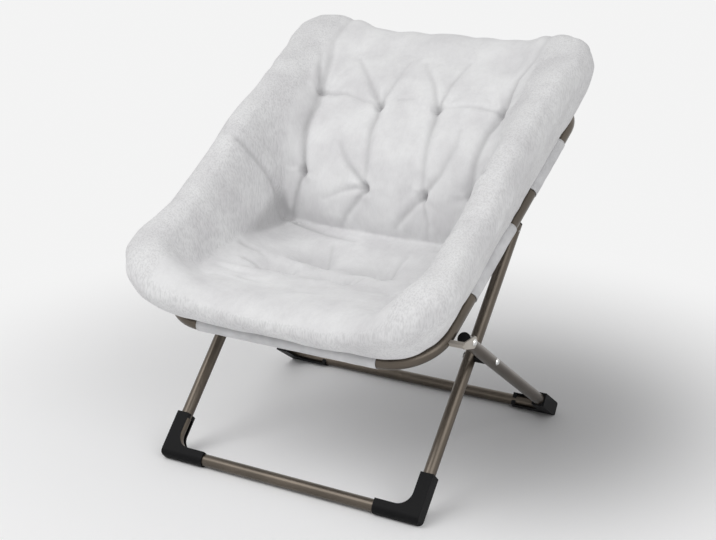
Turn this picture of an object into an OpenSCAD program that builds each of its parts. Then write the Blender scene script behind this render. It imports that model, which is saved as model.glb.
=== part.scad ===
// Folding saucer chair: a padded fur bucket on a tube ring, carried by two crossed leg frames.
// Millimetres. X across the chair, Y from front to back, Z up, feet on Z = 0.
// The ring is two half loops hinged at the sides, so the chair closes like a shell.

/* [Tubes] */
// Outer diameter of every frame tube
tube_d = 25; // [20:0.5:32]
// Wall thickness of the tubes
tube_wall = 1.2; // [1:0.1:3]
// Bend radius of the lower corners of both leg frames
leg_bend_r = 42; // [30:1:80]

/* [Leg frames] */
// Half spacing of the front legs, centre to centre
front_half_w = 281; // [200:1:350]
// Space between a front leg and the rear leg beside it
leg_gap = 19.5; // [8:0.5:40]
// Distance between the two floor crossbars
foot_spread = 580; // [400:1:700]
// Height of the crossbar axes over the floor
foot_axis_z = 14.7; // [13:0.1:24]
// Lean of the front legs from the floor, in degrees
front_leg_lean = 45.1; // [35:0.1:60]
// Lean of the rear legs from the floor, in degrees
rear_leg_lean = 34.8; // [25:0.1:50]
// Distance along the front leg from the crossbar to its top pivot
front_leg_reach = 625; // [500:1:700]
// Distance along the rear leg from the crossbar to its top pivot
rear_leg_reach = 564; // [450:1:650]
// Tube left beyond each top pivot
leg_end_over = 14; // [10:1:30]
// Distance along the front leg from the crossbar to the crossing bolt
front_cross_at = 336.22; // [200:0.01:450]
// Distance along the rear leg from the crossbar to the crossing bolt
rear_cross_at = 417.3; // [250:0.01:500]

/* [Ring] */
// How far the ring's sides lie outside the front legs, centre to centre
ring_step = 18.5; // [14:0.5:30]
// Length of the ring, front tube to rear tube
ring_len = 835; // [600:1:950]
// Corner radius of the ring on its axis
ring_bend_r = 100; // [60:1:160]
// Tilt of the ring from the floor, in degrees
ring_tilt = 25.16; // [10:0.01:40]
// Where the front tube of the ring lies over the front crossbar
ring_front_y = 5.7; // [-60:0.1:60]
// Height of the front tube of the ring
ring_front_z = 310.1; // [240:0.1:400]
// Distance from the front tube to the side hinge
hinge_at = 222; // [150:1:300]
// Half angle left open between the halves when folded
hinge_relief = 30; // [20:1:45]
// Thickness of each hinge tongue
tongue_t = 8.6; // [5:0.1:10]
// Half height of each hinge tongue
tongue_r = 9.6; // [7:0.1:11]

/* [Brackets and rivets] */
// Thickness of the bracket plates
plate_t = 3; // [2:0.1:5]
// Radius of the rivet shanks
rivet_r = 3.5; // [2.5:0.1:5]
// Radius of the rivet heads
rivet_head_r = 7; // [5:0.1:9]
// Height of the rivet heads
rivet_head_h = 3; // [1.5:0.1:5]
// Radius of the spacers between the crossed legs
spacer_r = 9; // [6:0.5:12]
// Centre of the foot of the front bracket, from the front tube
ear_foot_at = 79; // [60:1:90]

/* [Plastic] */
// Wall thickness of the clipped feet
foot_wall = 2.6; // [1.5:0.1:4]
// Reach of the feet along each tube
foot_reach = 84; // [50:1:120]
// Length of the collars at both ends of a foot
foot_collar = 9; // [5:0.5:20]
// Thickness of the end cap lids
cap_lid = 3; // [1.5:0.1:6]
// Length of the cap skirt over the tube
cap_skirt = 9; // [5:0.5:25]

/* [Cushion] */
// Height of the padded rim over the ring at the sides
rim_side_h = 150; // [100:1:200]
// Height of the padded rim over the ring at the middle of the front
rim_front_h = 78; // [50:1:130]
// Height of the padded rim over the ring at the top
rim_top_h = 146; // [100:1:200]
// How much higher the sides of the rim are beside the back than beside the seat
rim_rise = 28; // [0:1:60]
// How far the rim swells out past the ring axis
rim_swell = 42; // [20:1:60]
// How far the upper corners of the rim lean out
corner_lean = 30; // [0:1:45]
// How far the front roll reaches in from the front tube
roll_reach = 90; // [60:1:120]
// How far the upper rim reaches in from the ring axis, down to the back pad
upper_reach = 74; // [60:1:95]
// Depth of the seat under the ring plane at its middle
seat_deep = 130; // [80:1:180]
// How far the sides of the seat curl up from its middle
seat_curl = 62; // [30:1:110]
// Depth of the inner edge of the front roll under the ring plane
roll_deep = 54; // [40:1:110]
// Thickness of the seat pad
seat_t = 46; // [25:1:80]
// Thickness of the back pad
back_t = 48; // [25:1:80]
// Inner offset of the side walls from the ring axis
wall_in = 51; // [45:1:80]
// Outer offset of the side walls from the ring axis, under the ring plane
wall_out = 38.5; // [36:0.5:45]
// Depth of the sewn tufts
tuft_deep = 15; // [4:1:25]
// Radius of the dimple round each tuft
tuft_r = 34; // [15:1:60]
// Spacing of the tufts across the chair
tuft_pitch = 140; // [90:1:180]
// Depth of the sewn channel seams down the back
channel_deep = 6; // [0:0.5:15]
// Crown of the pads between their seams
pad_crown = 10; // [4:1:25]
// Length of bare tube from a bracket's pivot to the sleeve above it
bare_tube = 61; // [45:1:90]
// Thickness of the cloth sleeves round the ring
sleeve_t = 1; // [0.6:0.1:2]

/* [Fits] */
// Gap between the faces of parts that turn on each other
turn_gap = 0.3; // [0.2:0.05:0.6]
// Radial gap of a rivet in the bore it turns in
run_gap = 0.08; // [0.02:0.01:0.1]
// Gap between parts that lie still against each other
seat_gap = 0.3; // [0.1:0.05:0.5]
// Gap between neighbouring pads of the cushion
pad_gap = 0.6; // [0.3:0.1:2]

/* [Hidden] */
tube_r = tube_d / 2;
bore_r = tube_r - tube_wall;
sleeve_in_r = tube_r + seat_gap / 3;
sleeve_out_r = sleeve_in_r + sleeve_t;
round_n = 64;
small_n = 40;
// Middle of the footprint, so that the origin lies under the middle of the chair
origin_y = 351;
rear_half_w = front_half_w + tube_d + leg_gap;
ring_half_w = front_half_w + ring_step;
side_len = ring_len - 2 * ring_bend_r;
front_straight = ring_half_w - ring_bend_r;
corner_len = ring_bend_r * PI / 2;
half_path = 2 * front_straight + 2 * corner_len + side_len;
seam_front = front_straight + corner_len / 2;
seam_top = half_path - front_straight - corner_len / 2;
web_half = rivet_head_r * 0.63;
ear_out_x = rear_half_w + tube_r + turn_gap;
ear_pivot_s = 111.9;
ear_pivot_h = -23.3;
hanger_pivot_s = 456.8;
hanger_pivot_h = -51.8;

// Placing

module left() { mirror([1, 0, 0]) children(); }

module on_front_legs() {
  translate([0, -origin_y, foot_axis_z]) rotate([front_leg_lean, 0, 0]) children();
}

module on_rear_legs() {
  translate([0, foot_spread - origin_y, foot_axis_z]) rotate([180 - rear_leg_lean, 0, 0]) children();
}

module on_ring() {
  translate([0, ring_front_y - origin_y, ring_front_z]) rotate([ring_tilt, 0, 0]) children();
}

module across(r, from_x, to_x, n = small_n) {
  translate([from_x, 0, 0]) rotate([0, 90, 0]) cylinder(r = r, h = to_x - from_x, $fn = n);
}

// Tubes

module tube_face(outer = tube_r, inner = bore_r) {
  difference() {
    circle(r = outer, $fn = round_n);
    circle(r = inner, $fn = round_n);
  }
}

module pipe_y(len, outer = tube_r, inner = bore_r) {
  rotate([-90, 0, 0]) linear_extrude(height = len) tube_face(outer, inner);
}

module elbow(bend, turn, outer = tube_r, inner = bore_r) {
  rotate_extrude(angle = turn, $fn = round_n * 2) translate([bend, 0]) tube_face(outer, inner);
}

module leg_frame(half_w, leg_len) {
  translate([-half_w + leg_bend_r, 0, 0]) rotate([0, 0, -90]) pipe_y(2 * half_w - 2 * leg_bend_r);
  for (side = [0, 1]) mirror([side, 0, 0]) {
    translate([half_w - leg_bend_r, leg_bend_r, 0]) rotate([0, 0, -90]) elbow(leg_bend_r, 90);
    translate([half_w, leg_bend_r, 0]) pipe_y(leg_len - leg_bend_r);
  }
}

module front_leg_frame() {
  color([0.43, 0.38, 0.35]) on_front_legs() difference() {
    leg_frame(front_half_w, front_leg_reach + leg_end_over);
    for (at = [front_cross_at, front_leg_reach])
      translate([0, at, 0]) across(rivet_r + run_gap, -front_half_w - tube_d, front_half_w + tube_d);
  }
}

module rear_leg_frame() {
  color([0.43, 0.38, 0.35]) on_rear_legs() difference() {
    leg_frame(rear_half_w, rear_leg_reach + leg_end_over);
    for (at = [rear_cross_at, rear_leg_reach])
      translate([0, at, 0]) across(rivet_r + run_gap, -rear_half_w - tube_d, rear_half_w + tube_d);
  }
}

// Clipped feet
// A channel that wraps the bend: outer wall, front and rear walls, two collars.

module foot_outline(grow) {
  r_out = tube_r + foot_wall + grow;
  inner_r = leg_bend_r - tube_r;
  difference() {
    union() {
      translate([-foot_reach, -r_out]) square([foot_reach + r_out - foot_wall * 3, r_out + tube_r]);
      translate([-tube_r, -r_out + foot_wall * 3]) square([r_out + tube_r, foot_reach + r_out - foot_wall * 3]);
      translate([r_out - foot_wall * 3, -r_out + foot_wall * 3]) circle(r = foot_wall * 3, $fn = small_n);
      translate([-foot_reach / 2, -r_out]) square([foot_reach / 2, foot_reach / 2 + r_out]);
    }
    translate([-leg_bend_r, leg_bend_r]) circle(r = inner_r, $fn = round_n);
    translate([-foot_reach - tube_r, tube_r]) square([foot_reach + tube_r - leg_bend_r, foot_reach]);
    translate([-foot_reach - tube_r, leg_bend_r]) square([foot_reach, foot_reach]);
  }
}

module foot_hollow() {
  clear_r = tube_r + seat_gap;
  translate([-leg_bend_r, leg_bend_r, 0]) rotate([0, 0, -90])
    rotate_extrude(angle = 90, $fn = round_n * 2) translate([leg_bend_r, 0]) circle(r = clear_r, $fn = round_n);
  translate([-foot_reach * 2, 0, 0]) rotate([0, 90, 0]) cylinder(r = clear_r, h = foot_reach * 2 - leg_bend_r, $fn = round_n);
  translate([0, leg_bend_r, 0]) rotate([-90, 0, 0]) cylinder(r = clear_r, h = foot_reach * 2, $fn = round_n);
}

// Rounds the outer edge of a foot along its crossbar.
module half_round() {
  wall_r = tube_r + foot_wall;
  rotate([0, -90, 0]) cylinder(r = wall_r, h = foot_reach * 2, $fn = round_n);
  translate([-foot_reach * 2, 0, -wall_r]) cube([foot_reach * 4, foot_reach * 2, 2 * wall_r]);
  rotate([0, 90, 0]) cylinder(r = wall_r, h = foot_reach * 2, $fn = round_n);
}

module clip_foot() {
  wall_z = tube_r + foot_wall;
  difference() {
    intersection() {
      translate([0, 0, -wall_z]) linear_extrude(height = 2 * wall_z) foot_outline(0);
      half_round();
    }
    foot_hollow();
    // The channel stays open towards the inside of the bend between the collars.
    translate([-foot_reach + foot_collar, 0, -tube_r]) cube([foot_reach - foot_collar, foot_reach - foot_collar, tube_d]);
  }
}

// Flattens the tread of a foot where it stands.
module stood() {
  far = foot_spread * 2;
  difference() {
    children();
    translate([-far, -far, -tube_d]) cube([2 * far, 2 * far, tube_d]);
  }
}

module front_foot_right() {
  color([0.09, 0.09, 0.1]) stood() on_front_legs() translate([front_half_w, 0, 0]) clip_foot();
}
module front_foot_left() { left() front_foot_right(); }
module rear_foot_right() {
  color([0.09, 0.09, 0.1]) stood() on_rear_legs() translate([rear_half_w, 0, 0]) clip_foot();
}
module rear_foot_left() { left() rear_foot_right(); }

// End caps

module end_cap() {
  rotate([-90, 0, 0]) {
    cylinder(r = tube_r, h = cap_lid, $fn = round_n);
    translate([0, 0, -cap_skirt]) cylinder(r = bore_r - seat_gap / 3, h = cap_skirt, $fn = round_n);
  }
}

module front_cap_right() {
  color([0.09, 0.09, 0.1]) on_front_legs()
    translate([front_half_w, front_leg_reach + leg_end_over + seat_gap / 3, 0]) end_cap();
}
module front_cap_left() { left() front_cap_right(); }
module rear_cap_right() {
  color([0.09, 0.09, 0.1]) on_rear_legs()
    translate([rear_half_w, rear_leg_reach + leg_end_over + seat_gap / 3, 0]) end_cap();
}
module rear_cap_left() { left() rear_cap_right(); }

// Crossing bolts and spacers

module rivet_head(x, way) {
  translate([x, 0, 0]) rotate([0, 90 * way, 0]) cylinder(r1 = rivet_head_r, r2 = rivet_head_r * 0.7, h = rivet_head_h, $fn = small_n);
}

module cross_bolt_right() {
  in_x = front_half_w - tube_r - seat_gap;
  out_x = rear_half_w + tube_r + seat_gap;
  color([0.75, 0.75, 0.76]) on_front_legs() translate([0, front_cross_at, 0]) {
    across(rivet_r, in_x, out_x);
    rivet_head(out_x, 1);
    rivet_head(in_x, -1);
  }
}
module cross_bolt_left() { left() cross_bolt_right(); }

module cross_spacer_right() {
  from_x = front_half_w + tube_r + seat_gap;
  color([0.09, 0.09, 0.1]) on_front_legs() translate([0, front_cross_at, 0]) difference() {
    across(spacer_r, from_x, from_x + leg_gap - 2 * seat_gap);
    across(rivet_r + seat_gap, from_x - plate_t, from_x + leg_gap + plate_t);
  }
}
module cross_spacer_left() { left() cross_spacer_right(); }

// Ring

// Keeps the sector of a half loop that may lie behind the hinge axis.
module hinge_sector() {
  far = ring_len;
  rotate([90, 0, 90]) linear_extrude(height = 2 * ring_half_w + 4 * tube_d, center = true) polygon([
    [seat_gap / 2, -tube_d], [far, -tube_d], [far, tube_d],
    [tube_d / tan(hinge_relief) + 2 * seat_gap, tube_d], [2 * seat_gap, 0], [seat_gap / 2, 0]]);
}

module tongue(from_x) {
  reach = tube_r / tan(hinge_relief) + tube_r;
  difference() {
    intersection() {
      union() {
        across(tongue_r, from_x, from_x + tongue_t);
        intersection() {
          translate([from_x, 0, -tongue_r]) cube([tongue_t, reach, 2 * tongue_r]);
          hinge_sector();
        }
      }
      translate([ring_half_w, 0, 0]) rotate([-90, 0, 0])
        translate([0, 0, -tube_r]) cylinder(r = tube_r - seat_gap, h = reach + tube_d, $fn = round_n);
    }
    across(rivet_r + run_gap, from_x - plate_t, from_x + tongue_t + plate_t);
  }
}

// One half loop with its hinge at y = 0 and its arms along +Y.
module half_loop(arm_len, inner_tongue) {
  keep = tube_r / tan(hinge_relief);
  tongue_x = inner_tongue ? ring_half_w - turn_gap / 2 - tongue_t : ring_half_w + turn_gap / 2;
  for (side = [0, 1]) mirror([side, 0, 0]) {
    difference() {
      intersection() {
        translate([ring_half_w, 0, 0]) pipe_y(arm_len);
        hinge_sector();
      }
      // Room for the tongue of the other half.
      across(tongue_r + turn_gap, ring_half_w - tube_r * 1.2, ring_half_w + tube_r * 1.2);
    }
    tongue(tongue_x);
    translate([front_straight, arm_len, 0]) elbow(ring_bend_r, 90);
  }
  translate([-front_straight, arm_len + ring_bend_r, 0]) rotate([0, 0, -90]) pipe_y(2 * front_straight);
}

module front_ring_half() {
  color([0.43, 0.38, 0.35]) on_ring() translate([0, hinge_at, 0])
    mirror([0, 1, 0]) half_loop(hinge_at - ring_bend_r, false);
}

module rear_ring_half() {
  color([0.43, 0.38, 0.35]) on_ring() translate([0, hinge_at, 0])
    half_loop(ring_len - ring_bend_r - hinge_at, true);
}

module ring_pin_right() {
  span = tongue_t + turn_gap / 2;
  color([0.75, 0.75, 0.76]) on_ring() translate([0, hinge_at, 0])
    across(rivet_r, ring_half_w - span, ring_half_w + span);
}
module ring_pin_left() { left() ring_pin_right(); }

// Front bracket: ear plate outside the rear leg's end

module ear_right() {
  color([0.68, 0.66, 0.63]) on_ring() difference() {
    union() {
      translate([ear_out_x, 0, 0]) rotate([90, 0, 90]) linear_extrude(height = plate_t) hull() {
        translate([ear_pivot_s, ear_pivot_h]) circle(r = rivet_head_r * 1.7, $fn = small_n);
        translate([ear_foot_at, 0]) circle(r = rivet_head_r, $fn = small_n);
      }
      translate([ring_half_w, ear_foot_at - web_half, -web_half])
        cube([ear_out_x - ring_half_w + plate_t / 2, 2 * web_half, 2 * web_half]);
    }
    translate([front_straight, ring_bend_r, 0]) rotate([0, 0, -90])
      rotate_extrude(angle = 90, $fn = round_n * 2) translate([ring_bend_r, 0])
        circle(r = tube_r + seat_gap / 3, $fn = round_n);
    translate([0, ear_pivot_s, ear_pivot_h]) across(rivet_r, ear_out_x - plate_t, ear_out_x + 2 * plate_t);
  }
}
module ear_left() { left() ear_right(); }

module ear_rivet_right() {
  color([0.75, 0.75, 0.76]) on_ring() translate([0, ear_pivot_s, ear_pivot_h]) {
    across(rivet_r, ear_out_x + seat_gap / 3, ear_out_x + plate_t + seat_gap / 3);
    rivet_head(ear_out_x + plate_t + seat_gap / 3, 1);
  }
}
module ear_rivet_left() { left() ear_rivet_right(); }

module ear_stub_right() {
  color([0.75, 0.75, 0.76]) on_rear_legs() translate([0, rear_leg_reach, 0])
    across(rivet_r, rear_half_w - tube_r, rear_half_w + tube_r);
}
module ear_stub_left() { left() ear_stub_right(); }

// Hanger: plate inside the front leg's end, welded under the rear half

module hanger_right() {
  in_x = front_half_w - tube_r - turn_gap - plate_t;
  color([0.43, 0.38, 0.35]) on_ring() difference() {
    union() {
      translate([in_x, 0, 0]) rotate([90, 0, 90]) linear_extrude(height = plate_t) hull() {
        translate([hanger_pivot_s, hanger_pivot_h]) circle(r = rivet_head_r * 1.4, $fn = small_n);
        translate([hanger_pivot_s - rivet_head_r, -tube_r - plate_t]) square([3 * rivet_head_r, plate_t]);
      }
      translate([in_x, hanger_pivot_s - rivet_head_r, -tube_r - plate_t])
        cube([ring_half_w - in_x, 3 * rivet_head_r, plate_t * 2]);
    }
    translate([ring_half_w, hanger_pivot_s - tube_d, 0]) rotate([-90, 0, 0])
      cylinder(r = tube_r + seat_gap / 3, h = 3 * tube_d, $fn = round_n);
    translate([0, hanger_pivot_s, hanger_pivot_h]) across(rivet_r, in_x - plate_t, in_x + 2 * plate_t);
  }
}
module hanger_left() { left() hanger_right(); }

module hanger_rivet_right() {
  in_x = front_half_w - tube_r - turn_gap - plate_t - seat_gap / 3;
  color([0.75, 0.75, 0.76]) on_front_legs() translate([0, front_leg_reach, 0]) {
    across(rivet_r, in_x, front_half_w + tube_r - tube_wall);
    rivet_head(in_x, -1);
  }
}
module hanger_rivet_left() { left() hanger_rivet_right(); }

// Cloth sleeves round the ring

module sleeve_y(from_s, to_s) {
  translate([ring_half_w, from_s, 0]) pipe_y(to_s - from_s, sleeve_out_r, sleeve_in_r);
}

module front_sleeve() {
  color([0.86, 0.86, 0.86]) on_ring() translate([-front_straight, 0, 0]) rotate([0, 0, -90])
    pipe_y(2 * front_straight, sleeve_out_r, sleeve_in_r);
}
module side_sleeve_right() { color([0.86, 0.86, 0.86]) on_ring() sleeve_y(hinge_at * 0.9, hinge_at * 1.833); }
module side_sleeve_left() { left() side_sleeve_right(); }
module upper_sleeve_right() { color([0.86, 0.86, 0.86]) on_ring() sleeve_y(hanger_pivot_s + bare_tube, ring_len * 0.823); }
module upper_sleeve_left() { left() upper_sleeve_right(); }
module top_sleeve() {
  color([0.86, 0.86, 0.86]) on_ring() translate([-front_straight, ring_len, 0]) rotate([0, 0, -90])
    pipe_y(2 * front_straight, sleeve_out_r, sleeve_in_r);
}

// Cushion: shared curves

// Rows of each table are points of one rim section: a share of the swell outwards or of the reach
// inwards, then a share of the height.
front_rim_shares = [[0.14, 0], [0.4, 0.25], [0.6, 0.56], [0.52, 0.86], [0.12, 1], [-0.25, 1],
  [-0.55, 0.89], [-0.8, 0.68], [-1, 0.43], [-1, -0.33], [-0.8, -0.45], [-0.6, -0.32],
  [-0.35, -0.12], [-0.156, 0]];
top_rim_shares = [[0.2, 0], [0.6, 0.2], [0.82, 0.5], [0.74, 0.8], [0.25, 0.99], [-0.27, 1],
  [-0.6, 0.97], [-0.85, 0.93], [-1, 0.89], [-1, 0.55], [-0.72, 0.42], [-0.5, 0.22],
  [-0.35, 0.06], [-0.19, 0]];
// How much fuller and higher the rim is at the corners of the ring
corner_swell_share = 0.6;
corner_lift_share = 0.1;
// Seat and back lines from front to rear: share of the ring length, then share of the seat depth
// or of the top rim height. The seat starts at the front roll and the back ends at the top roll.
seat_line_shares = [[0, 0.31], [0.071, -0.04], [0.239, -0.77], [0.389, -0.69]];
back_line_shares = [[-0.41, -0.615], [-0.4, 0.27], [-0.286, 0.7], [0, 0.91]];
// Where along the ring the sides of the seat curl up most, and over what length
curl_at_share = 0.293;
curl_len_share = 0.156;
back_step_shares = [-1.5, -0.5, 0.5, 1.5];
seat_step_shares = [-1, 0, 1];
seat_rear_step_shares = [-0.5, 0.5];
seat_tuft_share = 0.36;
seat_rear_tuft_share = 0.58;
back_tuft_share = 0.33;
back_top_tuft_share = 0.75;
spline_steps = 3;
rim_foot_h = sleeve_out_r + seat_gap;
pad_half_w = ring_half_w - wall_in - pad_gap;
seat_start = roll_reach + pad_gap;
back_end = ring_len - upper_reach - 5 * pad_gap;

function mix(a, b, t) = a + (b - a) * t;
function clamp01(t) = max(0, min(1, t));
function smooth(t) = let(c = clamp01(t)) c * c * (3 - 2 * c);
function bump(d, r) = exp(-(d / r) * (d / r));

function curl(p0, p1, p2, p3, t) = 0.5 * (2 * p1 + (p2 - p0) * t
  + (2 * p0 - 5 * p1 + 4 * p2 - p3) * t * t + (3 * p1 - p0 - 3 * p2 + p3) * t * t * t);

function run_through(c, last) = [for (i = [0 : last - 1]) for (k = [0 : spline_steps - 1])
  curl(c[max(0, i - 1)], c[i], c[i + 1], c[min(last, i + 2)], k / spline_steps)];

function bez(p, t) = p[0] * pow(1 - t, 3) + p[1] * 3 * t * pow(1 - t, 2)
  + p[2] * 3 * t * t * (1 - t) + p[3] * pow(t, 3);
function bez_dir(p, t) = let(d = (p[1] - p[0]) * pow(1 - t, 2) + (p[2] - p[1]) * 2 * t * (1 - t)
  + (p[3] - p[2]) * t * t) d / norm(d);

// Point and outward direction on the ring axis, q measured from the middle of the front tube.
function on_path(q) = let(a = abs(q), s = q < 0 ? -1 : 1, b = a - front_straight,
  c = b - corner_len, d = c - side_len,
  p = b < 0 ? [a, 0, 0, -1]
    : c < 0 ? let(t = 90 * b / corner_len) [front_straight + ring_bend_r * sin(t),
        ring_bend_r * (1 - cos(t)), sin(t), -cos(t)]
    : d < 0 ? [ring_half_w, ring_bend_r + c, 1, 0]
    : d < corner_len ? let(t = 90 * d / corner_len) [front_straight + ring_bend_r * cos(t),
        ring_len - ring_bend_r + ring_bend_r * sin(t), cos(t), sin(t)]
    : [half_path - a, ring_len, 0, 1]) [s * p[0], p[1], s * p[2], p[3]];

function lift(share, rim_h) = share >= 0 ? rim_foot_h + share * (rim_h - rim_foot_h)
  : rim_foot_h + share * (roll_deep + rim_foot_h);
function scaled(shares, rim_h, reach) = [for (p = shares)
  [p[0] * (p[0] > 0 ? rim_swell : reach), lift(p[1], rim_h)]];

// Half width of the space between the rims: narrower up the back, round at the top.
function inner_half(s) = let(up = s - ring_len + ring_bend_r, r = ring_bend_r - upper_reach)
  up > 0 ? front_straight + sqrt(max(0, r * r - up * up))
  : ring_half_w - mix(wall_in, upper_reach, smooth((s - hinge_at * 2) / (hinge_at * 0.4)));

// Half width of the pads, which draw in a little at their corners
function half_at(s) = inner_half(s) - 5 * pad_gap
  - pad_gap * 20 * smooth((s - ring_len + ring_bend_r) / (ring_bend_r - upper_reach))
  - pad_gap * 8 * smooth((seat_start * 1.4 - s) / (seat_start * 0.4));

// How far the seat curls up at a distance along the ring and across it
function curl_up(x, s) = seat_curl * bump(s - curl_at_share * ring_len, curl_len_share * ring_len)
  * pow(min(1, abs(x) / inner_half(s)), 3.5);

// Height of the seat and of the back's face at a distance along the ring, at the middle
function face_at(s) = let(line = s < back_line[0][0] ? seat_line : back_line)
  lookup(s, [for (k = [0 : 10]) bez(line, k / 10)]);

// Side section: the wall under the ring plane stays inside the legs, and higher up the inner
// face slopes down to the edge of the back pad.
function side_rim(s) = let(face = face_at(s), reach = ring_half_w - inner_half(s),
  rim_h = rim_side_h + rim_rise * smooth((s - hinge_at) / hinge_at),
  near = smooth((s - hinge_at * 1.85) / (hinge_at * 0.3)),
  edge = face - pad_gap * 4, low = face - seat_t * 0.9, foot = mix(edge, rim_h, 0.16)) [
  [0.02 * rim_swell, lift(0, rim_h)], [0.3 * rim_swell, lift(0.2, rim_h)],
  [0.66 * rim_swell, lift(0.5, rim_h)], [0.94 * rim_swell, lift(0.78, rim_h)],
  [0.6 * rim_swell, lift(1, rim_h)], [-0.35 * rim_swell, lift(0.97, rim_h)],
  [-reach * 0.74, mix(lift(0.6, rim_h), mix(edge, rim_h, 0.5), near)],
  [-reach * 0.94, mix(max(lift(0.1, rim_h), foot), foot, near)],
  [-reach, edge], [-reach, low], [-wall_out, low], [-wall_out, mix(low, rim_foot_h, 0.4)],
  [-wall_out * 0.93, mix(low, rim_foot_h, 0.9)], [-wall_out * 0.37, rim_foot_h]];

// How much of the seat's curl each point of a section takes part in
curl_shares = [0, 0, 0, 0, 0, 0, 0.2, 0.5, 1, 1, 1, 0.6, 0.1, 0];

// Section at q: front, side and top forms run into each other, the inner ones later.
function rim_section(q) = let(a = abs(q), s = on_path(a)[1],
  f = smooth((a - front_straight * 0.55) / (seam_front * 1.2 - front_straight * 0.55)),
  f_in = smooth((a - front_straight) / corner_len),
  g = smooth((a - seam_top + corner_len * 1.15) / (corner_len * 1.4)),
  lean = corner_lean * bump(a - seam_top, corner_len * 0.4),
  full = max(bump(a - seam_front, corner_len * 0.5), bump(a - seam_top, corner_len * 0.4)),
  side = side_rim(s), front = scaled(front_rim_shares, rim_front_h, roll_reach),
  top = scaled(top_rim_shares, rim_top_h, upper_reach))
  [for (i = [0 : len(side) - 1]) let(v = mix(mix(front[i], side[i], i < 6 ? f : f_in), top[i], g))
    [v[0] * (v[0] > 0 ? 1 + corner_swell_share * full : 1)
      + (i < 6 ? lean * pow(clamp01(v[1] / rim_side_h), 2) : 0),
     v[1] * (i < 7 ? 1 + corner_lift_share * full : 1)]];

function rim_ring(q) = let(c = rim_section(q), p = on_path(q), last = 8,
  placed = [for (i = [0 : len(c) - 1]) let(x = p[0] + c[i][0] * p[2], s = p[1] + c[i][0] * p[3])
    [x, s, c[i][1] + curl_shares[i] * curl_up(x, s)]])
  concat(run_through(placed, last), [for (i = [last : len(c) - 1]) placed[i]]);

// Cushion: solids

// Closed skin over rows of points, one closed section per row. Sections whose points lie in
// facing pairs get ends of narrow triangles, the others one flat face at each end.
module skin(rows, flip = false, paired = false) {
  n = len(rows[0]);
  last = len(rows) - 1;
  faces = concat(
    [for (i = [0 : last - 1]) for (j = [0 : n - 1]) let(k = (j + 1) % n)
      [i * n + j, i * n + k, (i + 1) * n + j]],
    [for (i = [0 : last - 1]) for (j = [0 : n - 1]) let(k = (j + 1) % n)
      [i * n + k, (i + 1) * n + k, (i + 1) * n + j]],
    paired ? [for (k = [0, last]) for (j = [0 : n / 2 - 2]) for (f = [[j, j + 1, n - 1 - j],
      [j + 1, n - 2 - j, n - 1 - j]]) [for (i = [0 : 2]) k * n + f[k == 0 ? 2 - i : i]]]
    : [[for (j = [n - 1 : -1 : 0]) j], [for (j = [0 : n - 1]) last * n + j]]);
  polyhedron(points = [for (r = rows) for (p = r) p],
    faces = flip ? [for (f = faces) [for (i = [len(f) - 1 : -1 : 0]) f[i]]] : faces);
}

module rim_piece(from_q, to_q, steps) {
  skin([for (i = [0 : steps]) rim_ring(mix(from_q, to_q, i / steps))]);
}

function curled(x, p) = [x, p[0], p[1] + curl_up(x, p[0])];

// Section of a pad at one place along its line: over the top, then back under it. Its end
// against the roll, at upright_end, stands upright.
function pad_row(line, v, t, cells, tufts, seams, upright_end) =
  let(p = bez(line, v), d = bez_dir(line, v), turn = smooth(1 - abs(v - upright_end) * 4),
    slant = mix([-d[1], d[0]], [0, 1], turn), nrm = slant / norm(slant),
    rise = 1 - pow(abs(2 * v - 1), 6),
    over = [for (i = [0 : cells]) let(u = 2 * i / cells - 1, x = u * half_at(p[0]),
      up = pad_crown * rise * (1 - pow(abs(u), 6)),
      dips = [for (k = tufts) let(c = bez(line, k[1]))
        tuft_deep * bump(norm([x - k[0], p[0] - c[0], p[1] - c[1]]), tuft_r)],
      seam = [for (k = seams) channel_deep * rise * bump(x - k, tuft_r / 2)],
      lift_h = up - max(dips) - max(concat([0], seam)))
      curled(x, p + nrm * lift_h)],
    under = [for (i = [cells : -1 : 0]) let(u = 2 * i / cells - 1,
      x = u * (min(half_at(p[0] - nrm[0] * t), half_at(p[0])) - pad_crown / 2),
      drop = t - pad_crown / 2 * (1 - rise) - pad_crown * u * u)
      curled(x, p - nrm * drop)])
  concat(over, under);

module pad(line, t, cells, rows, tufts, seams, upright_end) {
  skin([for (i = [0 : rows]) pad_row(line, i / rows, t, cells, tufts, seams, upright_end)], true, true);
}

seat_line = [for (p = seat_line_shares) [seat_start + p[0] * ring_len, p[1] * seat_deep]];
back_line = [for (p = back_line_shares) [back_end + p[0] * ring_len, p[1] * rim_top_h]];
seat_tufts = concat([for (k = seat_step_shares) [k * tuft_pitch, seat_tuft_share]],
  [for (k = seat_rear_step_shares) [k * tuft_pitch, seat_rear_tuft_share]]);
back_tufts = concat([for (k = back_step_shares) [k * tuft_pitch, back_tuft_share]],
  [for (k = back_step_shares) [k * tuft_pitch, back_top_tuft_share]]);
back_seams = [for (k = back_step_shares) k * tuft_pitch];

module seat_pad() {
  color([0.92, 0.92, 0.92]) on_ring() pad(seat_line, seat_t, 18, 16, seat_tufts, [], 0);
}
module back_pad() {
  color([0.92, 0.92, 0.92]) on_ring() pad(back_line, back_t, 22, 20, back_tufts, back_seams, 1);
}
module side_wing_right() {
  color([0.92, 0.92, 0.92]) on_ring() rim_piece(seam_front + pad_gap / 2, seam_top - pad_gap / 2, 24);
}
module side_wing_left() { left() side_wing_right(); }
module front_roll() {
  color([0.92, 0.92, 0.92]) on_ring() rim_piece(-seam_front + pad_gap / 2, seam_front - pad_gap / 2, 20);
}
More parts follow.
